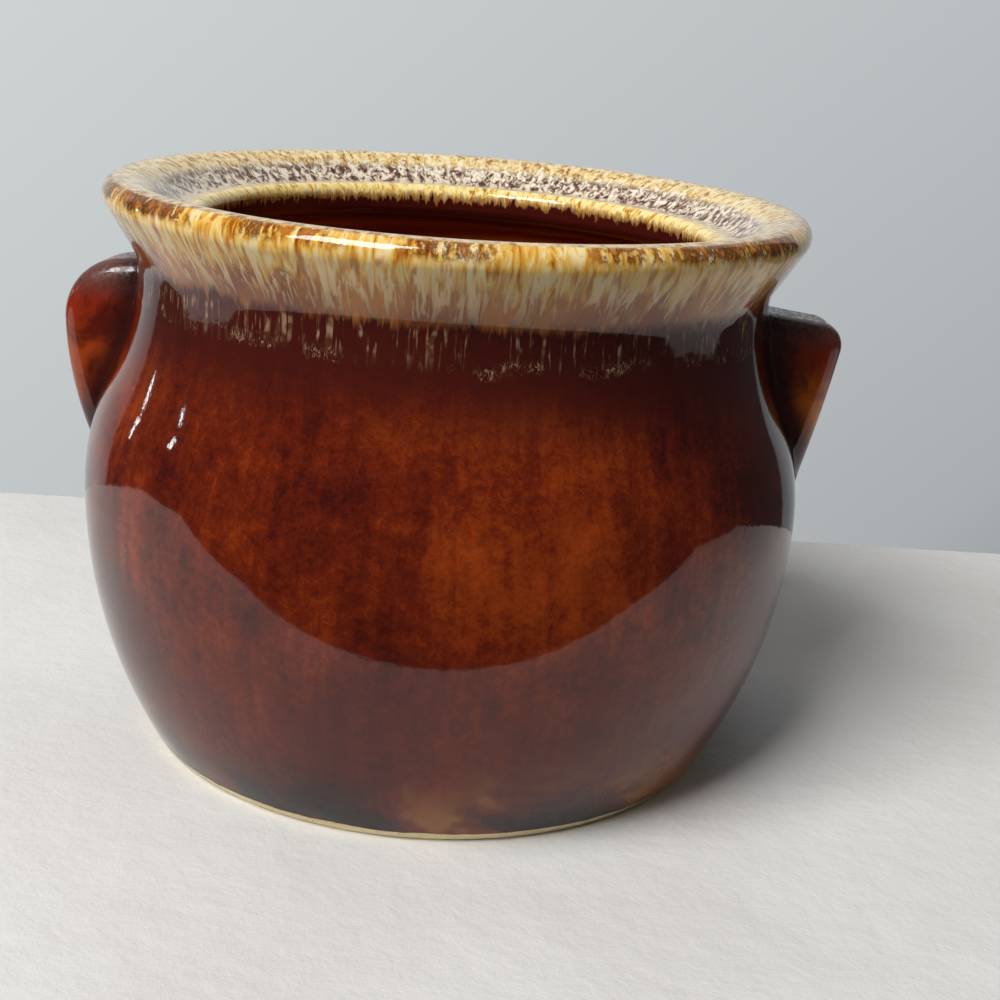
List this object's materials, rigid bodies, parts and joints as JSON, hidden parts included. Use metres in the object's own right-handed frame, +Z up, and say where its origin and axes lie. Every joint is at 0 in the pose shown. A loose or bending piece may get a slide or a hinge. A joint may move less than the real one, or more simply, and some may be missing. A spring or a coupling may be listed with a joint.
{
  "type": "bean pot",
  "caption": "Open round-bellied stoneware bean pot with a flared rim, a recessed gallery for a loose lid, two solid lugs, brown glaze inside and out, and an ivory drip glaze on the rim.",
  "frame": {"origin": "centre of the foot ring, in the plane that the pot stands on", "axes": "+Z up along the pot's own axis; +X out through the square-cornered lug and -X through the rounded lug; -Y is the side that the picture shows"},
  "size_m": [0.1875, 0.1716, 0.1318],
  "materials": {
    "bare_stoneware": "unglazed fired stoneware, matte",
    "brown_glaze": "glossy mottled red-brown glaze",
    "liner_glaze": "glossy red-brown liner glaze",
    "ivory_glaze": "glossy ivory and straw drip glaze streaked with brown"
  },
  "bodies": {
    "root": {"stoneware_body": "bare_stoneware", "left_lug": "bare_stoneware", "right_lug": "bare_stoneware", "brown_outer_glaze": "brown_glaze", "brown_inner_glaze": "liner_glaze", "ivory_rim_glaze": "ivory_glaze"}
  },
  "joints": []
}
